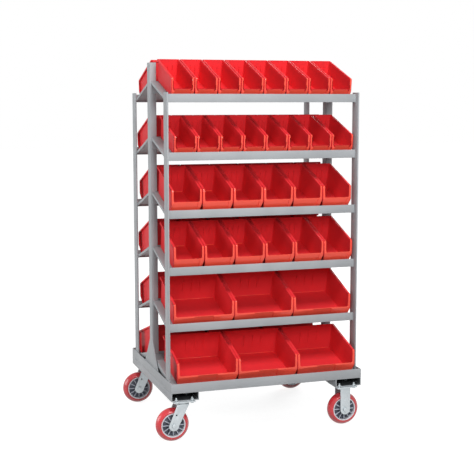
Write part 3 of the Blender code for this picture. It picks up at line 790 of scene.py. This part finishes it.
# Steel frame
def dressed(node, width, segments=2):
    """A merged copy of a CAD node's mesh with its flats whole and its sharp edges rounded."""
    bm = bmesh.new()
    bm.from_mesh(frame["nodes"][node].data)
    bmesh.ops.remove_doubles(bm, verts=bm.verts, dist=CAD_MERGE)
    bmesh.ops.dissolve_limit(bm, angle_limit=CAD_FLAT, verts=bm.verts, edges=bm.edges)
    soften(bm, sharp_edges(bm), width, segments)
    return bm


def steel_piece(node, width, finish="grey_enamel"):
    show(f"{node}_steel", dressed(node, width), [finish], body_of(node), [node])


def make_bolster(node, width):
    """A bolster whose inner faces take a near-black finish: painted shade inside the channel."""
    low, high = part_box(node)
    middle = (low + high) / 2
    bm = dressed(node, width)
    bm.normal_update()
    # Faces that look into the channel get the near-black painted shade.
    for face in bm.faces:
        inward = middle - face.calc_center_median()
        beside = abs(face.normal.x) > PARALLEL and face.normal.x * inward.x > 0
        below = face.normal.z > PARALLEL and inward.z > 0
        if beside or below:
            face.material_index = 1
    show(f"{node}_steel", bm, ["grey_enamel", "mill_scale"], body_of(node), [node])


def bead(bm, start, end, radius, pitch):
    """A rippled weld from start to end, made of overlapping balls."""
    start, end = Vector(start), Vector(end)
    steps = max(1, ceil((end - start).length / pitch))
    for step in range(steps + 1):
        spot = start.lerp(end, step / steps)
        swell = 1 + BEAD_SWELL * sin(step * BEAD_TURN + spot.z * BEAD_DRIFT)
        ball = bmesh.ops.create_icosphere(bm, subdivisions=1, radius=radius * swell)["verts"]
        bmesh.ops.translate(bm, verts=ball, vec=spot)


def rail_welds(bm, steel):
    """Down both ends of each shelf's front rail, in the corner it makes with the post."""
    for node in NODES:
        if node.startswith("shelf_"):
            low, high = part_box(node)
            face = low.y if low.y + high.y < 0 else high.y
            for x in (low.x, high.x):
                bead(bm, (x, face, low.z), (x, face, low.z + steel.rail), steel.bead, steel.ripple)


def foot_welds(bm, steel):
    """Along the lip's top, where the posts and their foot plates stand against it."""
    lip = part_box("base_tray")[1].z
    for end, side in ENDS.items():
        for post in ("corner_post_front", "corner_post_rear", "center_post"):
            low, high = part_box(f"{post}_{end}")
            x = low.x if side < 0 else high.x
            bead(bm, (x, low.y, lip), (x, high.y, lip), steel.bead, steel.ripple)


def bolster_welds(bm, steel):
    """Stitches along the top edges of both bolsters."""
    half = steel.stitch / 2
    for end in ENDS:
        low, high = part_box(f"bolster_{end}")
        for x in (low.x, high.x):
            for portion in STITCH_SHARES:
                y = low.y + (high.y - low.y) * portion
                bead(bm, (x, y - half, high.z), (x, y + half, high.z), steel.bead, steel.ripple)


# Casters
def crown_profile(size, steps=18):
    """The tread's (radius, y) outline, whose crown falls away as a parabola."""
    drop = size.wheel_radius - size.edge_radius
    crown = []
    for step in range(steps + 1):
        y = -1 + 2 * step / steps
        crown.append((size.wheel_radius - drop * y * y, size.half_width * y))
    return [(size.tread_inner, -size.half_width)] + crown + [(size.tread_inner, size.half_width)]


def wheel_center(name):
    low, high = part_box(f"caster_{name}_tread")
    middle = (low + high) / 2
    return Vector((middle.x, middle.y, bpy.context.scene.cart_caster.wheel_radius))


def make_tread(name, size):
    bm = turned(crown_profile(size), TURN_STEPS, "Y")
    soften(bm, sharp_edges(bm), size.tread_round, segments=2)
    bmesh.ops.translate(bm, verts=bm.verts, vec=wheel_center(name))
    show(f"tread_{name}", bm, ["red_tread"], f"wheel_{name}", [f"caster_{name}_tread"])


def make_ring(name, size):
    """The core's pale outer ring."""
    half = size.half_width - size.ring_inset
    ring = turned([(size.ring_inner, -half), (size.ring_outer, -half), (size.ring_outer, half),
                   (size.ring_inner, half)], TURN_STEPS, "Y")
    soften(ring, sharp_edges(ring), size.core_round, segments=2)
    bmesh.ops.translate(ring, verts=ring.verts, vec=wheel_center(name))
    show(f"ring_{name}", ring, ["core_ring"], f"wheel_{name}")


def make_core(name, size):
    """The core's dark web, with ribs on both sides and a hub."""
    web = size.web / 2
    hub = size.hub_half
    rim = size.ring_inner - size.rib * CORE_GAP_SHARE
    outline = [(size.bore, -hub), (size.hub_radius, -hub), (size.hub_radius, -web), (rim, -web),
               (rim, web), (size.hub_radius, web), (size.hub_radius, hub), (size.bore, hub)]
    core = turned(outline, TURN_STEPS, "Y")
    soften(core, sharp_edges(core), size.core_round, segments=2)
    deep = size.half_width - size.rib_inset
    for index in range(size.rib_count):
        rib = block((size.hub_radius - size.rib, -deep, -size.rib / 2), (rim, deep, size.rib / 2))
        soften(rib, rib.edges[:], size.rib_round, segments=2)
        join(core, rib, Matrix.Rotation(2 * pi * index / size.rib_count, 4, "Y"))
        rib.free()
    # Rib tops and hub ends take the paler finish: painted highlight against the web's painted shade.
    for face in core.faces:
        if abs(face.calc_center_median().y) > deep - size.rib_highlight:
            face.material_index = 1
    bmesh.ops.translate(core, verts=core.verts, vec=wheel_center(name))
    show(f"core_{name}", core, ["dark_core", "core_rib_highlight"], f"wheel_{name}",
         [f"caster_{name}_core"])


def hexagon(radius, low, high, rounding):
    """A hex head or nut along Z."""
    bm = bmesh.new()
    bmesh.ops.create_cone(bm, cap_ends=True, segments=6, radius1=radius, radius2=radius, depth=high - low)
    bmesh.ops.translate(bm, verts=bm.verts, vec=(0, 0, (low + high) / 2))
    soften(bm, bm.edges[:], rounding, segments=2)
    return bm


def threaded_rod(radius, low, high, pitch):
    """A rod with the ridges of a thread along Z."""
    turns = max(1, round((high - low) / pitch))
    step = (high - low) / turns
    root = radius - pitch * THREAD_DEPTH_SHARE
    profile = [(0, low)]
    for index in range(turns):
        profile += [(root, low + index * step), (radius, low + (index + 0.5) * step)]
    profile += [(root, high), (0, high)]
    return turned(profile, THREAD_STEPS)


def washer(radius, bore, low, high):
    return turned([(bore, low), (radius, low), (radius, high), (bore, high)], WASHER_STEPS)


def make_axle(name, size):
    """The axle bolt, with washers under its hex head and nut."""
    node = f"caster_{name}_axle"
    low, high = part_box(node)
    half = (high.y - low.y) / 2
    seat = half - size.axle_seat
    head = seat + size.washer_sheet
    wide, bore = size.axle_head * WASHER_PER_HEAD, size.axle * WASHER_PER_AXLE
    bm = bmesh.new()
    for part in (turned([(0, -seat), (size.axle, -seat), (size.axle, seat), (0, seat)], WASHER_STEPS),
                 washer(wide, bore, seat, head), washer(wide, bore, -head, -seat),
                 hexagon(size.axle_head, head, half, size.head_round),
                 hexagon(size.axle_head, -half, -head, size.head_round)):
        join(bm, part)
        part.free()
    bmesh.ops.rotate(bm, verts=bm.verts, cent=(0, 0, 0), matrix=Matrix.Rotation(pi / 2, 3, "X"))
    bmesh.ops.translate(bm, verts=bm.verts, vec=wheel_center(name))
    show(f"axle_bolt_{name}", bm, ["zinc_plate"], body_of(node), [node])


def make_fork(name, size):
    node = f"caster_{name}_fork"
    bm = dressed(node, size.fork_edge, segments=3)
    show(f"fork_{name}", bm, ["zinc_plate"], body_of(node), [node])


def make_bolt_ends(size):
    """Threaded ends of the plate bolts, up inside the bolsters."""
    bm = bmesh.new()
    for name in WHEELS:
        kind = "plate" if name.endswith("left") else "fork"
        low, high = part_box(f"caster_{name}_{kind}")
        middle = (low + high) / 2
        stub = threaded_rod(size.bolt, high.z - size.bolt_stub, high.z + size.bolt_stub, size.thread)
        for side_x in SIDES:
            for side_y in SIDES:
                spot = (middle.x + side_x * size.bolt_x, middle.y + side_y * size.bolt_y, 0)
                join(bm, stub, Matrix.Translation(spot))
        stub.free()
    show("plate_bolt_ends", bm, ["zinc_plate"], "root")


# Operators
class BINCART_OT_frame(bpy.types.Operator):
    """Dress the tray, bolsters, posts and shelves in grey enamel"""
    bl_idname = "bincart.frame"
    bl_label = "Steel frame"

    def execute(self, context):
        steel = context.scene.cart_steel
        for node in NODES:
            if node.startswith(("base_tray", "shelf", "deck_slope")):
                steel_piece(node, steel.sheet_edge)
            elif node.startswith(("corner_post", "center_post")):
                steel_piece(node, steel.bar_edge)
            elif node.startswith("bolster"):
                make_bolster(node, steel.sheet_edge)
        return {"FINISHED"}


class BINCART_OT_welds(bpy.types.Operator):
    """Lay the enamelled weld beads of the frame"""
    bl_idname = "bincart.welds"
    bl_label = "Weld beads"

    def execute(self, context):
        steel = context.scene.cart_steel
        bm = bmesh.new()
        rail_welds(bm, steel)
        foot_welds(bm, steel)
        bolster_welds(bm, steel)
        show("weld_beads", bm, ["grey_enamel"], "root", smooth=pi)
        return {"FINISHED"}


class BINCART_OT_large_bins(bpy.types.Operator):
    """Mould the twelve large bins"""
    bl_idname = "bincart.large_bins"
    bl_label = "Large bins"

    def execute(self, context):
        dress_bins("large_bin", context.scene.cart_large_bin, bins=1)
        return {"FINISHED"}


class BINCART_OT_medium_bins(bpy.types.Operator):
    """Mould the four rows of medium bins"""
    bl_idname = "bincart.medium_bins"
    bl_label = "Medium bins"

    def execute(self, context):
        dress_bins("medium_bin", context.scene.cart_medium_bin, bins=6)
        return {"FINISHED"}


class BINCART_OT_small_bins(bpy.types.Operator):
    """Mould the four rows of small bins"""
    bl_idname = "bincart.small_bins"
    bl_label = "Small bins"

    def execute(self, context):
        dress_bins("small_bin", context.scene.cart_small_bin, bins=8)
        return {"FINISHED"}


class BINCART_OT_wheels(bpy.types.Operator):
    """Turn the four wheels: tread, ring, core and ribs"""
    bl_idname = "bincart.wheels"
    bl_label = "Wheels"

    def execute(self, context):
        for name in WHEELS:
            make_tread(name, context.scene.cart_caster)
            make_ring(name, context.scene.cart_caster)
            make_core(name, context.scene.cart_caster)
        return {"FINISHED"}


class BINCART_OT_forks(bpy.types.Operator):
    """Plate the forks, top plates, axles and bolts in zinc"""
    bl_idname = "bincart.forks"
    bl_label = "Forks and fasteners"

    def execute(self, context):
        size = context.scene.cart_caster
        for name in WHEELS:
            make_fork(name, size)
            make_axle(name, size)
        for node in NODES:
            if node.endswith("_plate"):
                steel_piece(node, size.fork_edge / 2, "zinc_plate")
        make_bolt_ends(size)
        return {"FINISHED"}


class BINCART_OT_studio(bpy.types.Operator):
    """Set up the floor, surroundings, lamps and camera"""
    bl_idname = "bincart.studio"
    bl_label = "Studio"

    def execute(self, context):
        studio = context.scene.cart_studio
        lamps = context.scene.cart_lamps
        make_floor(studio)
        make_surroundings(studio)
        make_lamp("key_light", lamps.key_place, lamps.key_aim, lamps.key_size, lamps.key_power)
        make_lamp("side_light", lamps.side_place, lamps.side_aim, lamps.side_size, lamps.side_power)
        make_lamp("top_light", lamps.top_place, lamps.top_aim, lamps.top_size, lamps.top_power)
        make_lamp("back_light", lamps.back_place, lamps.back_aim, lamps.back_size, lamps.back_power)
        make_camera(studio)
        return {"FINISHED"}


def make_floor(studio):
    """A pale floor that shows white where nothing shades it, and keeps the cart's soft shadow."""
    bm = bmesh.new()
    bmesh.ops.create_grid(bm, x_segments=1, y_segments=1, size=studio.floor_size / 2)
    mesh = bpy.data.meshes.new("floor")
    bm.to_mesh(mesh)
    bm.free()
    floor = bpy.data.objects.new("floor", mesh)
    bpy.context.scene.collection.objects.link(floor)
    finish = Finish("pale_floor")
    shade = studio.floor_shade
    reach = finish.node("ShaderNodeVectorMath", {"operation": "LENGTH"}, {0: finish.place}, "Value")
    far = finish.band(reach, low=studio.floor_near, high=studio.floor_far)
    glow = finish.white_to_view() * (studio.floor_glow + far * (1 - studio.floor_glow))
    finish.set({"Base Color": (shade, shade, shade, 1), "Roughness": 0.9, "Specular IOR Level": 0.0,
                "Emission Color": finish.blend(glow, (0, 0, 0), (1, 1, 1)), "Emission Strength": 1})
    mesh.materials.append(finish.material)


def make_surroundings(studio):
    """White to the view, and a weak even light on the cart."""
    world = bpy.data.worlds.new("studio_world")
    world.use_nodes = True
    graph = Graph(world.node_tree)
    background = graph.tree.nodes["Background"]
    background.inputs["Color"].default_value = (1, 1, 1, 1)
    strength = graph.node("ShaderNodeMix", {"data_type": "FLOAT"},
                          {"Factor": graph.white_to_view(), "A": studio.ambient, "B": 1}, "Result")
    graph.feed(background.inputs["Strength"], strength)
    bpy.context.scene.world = world


def make_lamp(name, place, aim, size, power):
    lamp = bpy.data.lights.new(name, "AREA")
    lamp.shape = "RECTANGLE"
    lamp.size, lamp.size_y = size
    lamp.energy = power
    holder = bpy.data.objects.new(name, lamp)
    holder.location = place
    holder.rotation_euler = (Vector(aim) - Vector(place)).to_track_quat("-Z", "Y").to_euler()
    bpy.context.scene.collection.objects.link(holder)


def make_camera(studio):
    camera = bpy.data.cameras.new("camera")
    camera.lens = studio.lens
    camera.sensor_width = studio.sensor
    holder = bpy.data.objects.new("camera", camera)
    turn = (Matrix.Rotation(-studio.yaw, 4, "Z") @ Matrix.Rotation(pi / 2 - studio.pitch, 4, "X")
            @ Matrix.Rotation(studio.roll, 4, "Z"))
    holder.matrix_world = Matrix.Translation(studio.camera) @ turn
    bpy.context.scene.collection.objects.link(holder)
    bpy.context.scene.camera = holder


OPERATORS = (BINCART_OT_frame, BINCART_OT_welds, BINCART_OT_large_bins, BINCART_OT_medium_bins,
             BINCART_OT_small_bins, BINCART_OT_wheels, BINCART_OT_forks, BINCART_OT_studio)


class BINCART_PT_panel(bpy.types.Panel):
    """The cart's pieces and their sizes"""
    bl_idname = "BINCART_PT_panel"
    bl_label = "Bin cart"
    bl_space_type = "VIEW_3D"
    bl_region_type = "UI"
    bl_category = "Bin Cart"

    def draw(self, context):
        for operator in OPERATORS:
            self.layout.operator(operator.bl_idname)
        for pointer, group in POINTERS.items():
            box = self.layout.box()
            box.label(text=group.__doc__)
            for name in group.__annotations__:
                box.prop(getattr(context.scene, pointer), name)


def register():
    for item in PROPERTY_GROUPS + OPERATORS + (BINCART_PT_panel,):
        bpy.utils.register_class(item)
    for pointer, group in POINTERS.items():
        setattr(bpy.types.Scene, pointer, PointerProperty(type=group))


def unregister():
    for pointer in POINTERS:
        delattr(bpy.types.Scene, pointer)
    for item in reversed(PROPERTY_GROUPS + OPERATORS + (BINCART_PT_panel,)):
        bpy.utils.unregister_class(item)


def main():
    register()
    bpy.context.scene.view_settings.view_transform = "Standard"
    bpy.ops.bincart.frame()
    bpy.ops.bincart.welds()
    bpy.ops.bincart.large_bins()
    bpy.ops.bincart.medium_bins()
    bpy.ops.bincart.small_bins()
    bpy.ops.bincart.wheels()
    bpy.ops.bincart.forks()
    bpy.ops.bincart.studio()


if __name__ == "__main__":
    main()
